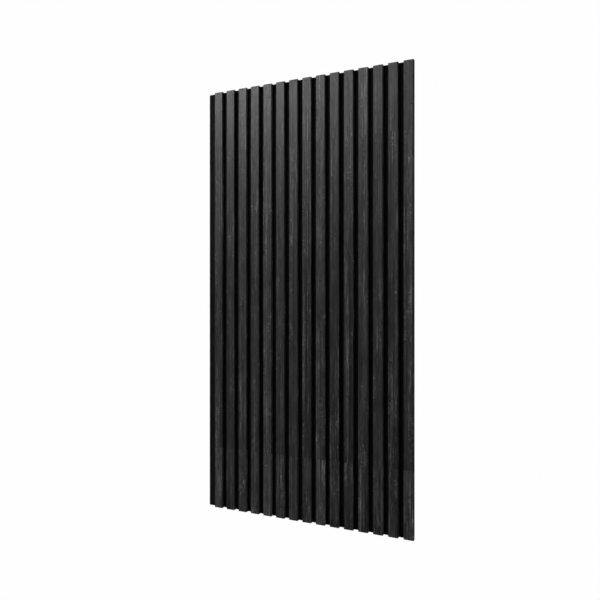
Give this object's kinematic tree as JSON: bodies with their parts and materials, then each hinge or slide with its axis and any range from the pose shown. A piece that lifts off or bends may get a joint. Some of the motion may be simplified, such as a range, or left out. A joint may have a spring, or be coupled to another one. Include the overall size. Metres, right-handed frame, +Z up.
{
  "type": "acoustic slat wall panel",
  "caption": "Flat wall panel of upright black oak-veneered slats on a black felt backing sheet; the last slat overhangs the felt so that panels join in an even row.",
  "frame": {"origin": "middle of the felt sheet's back face, which lies against the wall", "axes": "+X along the width, to the right seen from the front; +Y out of the back, into the wall; +Z up. The slats face -Y."},
  "size_m": [0.6098, 0.0194, 1.2],
  "materials": {
    "felt": "needled felt",
    "fibreboard": "raw sawn fibreboard, dyed black",
    "veneer": "black-stained brushed oak, matt",
    "staple_wire": "galvanised wire"
  },
  "bodies": {
    "root": {"felt_backing": "felt", "slat_core_01": "fibreboard", "slat_core_02": "fibreboard", "slat_core_03": "fibreboard", "slat_core_04": "fibreboard", "slat_core_05": "fibreboard", "slat_core_06": "fibreboard", "slat_core_07": "fibreboard", "slat_core_08": "fibreboard", "slat_core_09": "fibreboard", "slat_core_10": "fibreboard", "slat_core_11": "fibreboard", "slat_core_12": "fibreboard", "slat_core_13": "fibreboard", "slat_core_14": "fibreboard", "slat_core_15": "fibreboard", "slat_veneer_01": "veneer", "slat_veneer_02": "veneer", "slat_veneer_03": "veneer", "slat_veneer_04": "veneer", "slat_veneer_05": "veneer", "slat_veneer_06": "veneer", "slat_veneer_07": "veneer", "slat_veneer_08": "veneer", "slat_veneer_09": "veneer", "slat_veneer_10": "veneer", "slat_veneer_11": "veneer", "slat_veneer_12": "veneer", "slat_veneer_13": "veneer", "slat_veneer_14": "veneer", "slat_veneer_15": "veneer", "staples": "staple_wire"}
  },
  "joints": []
}
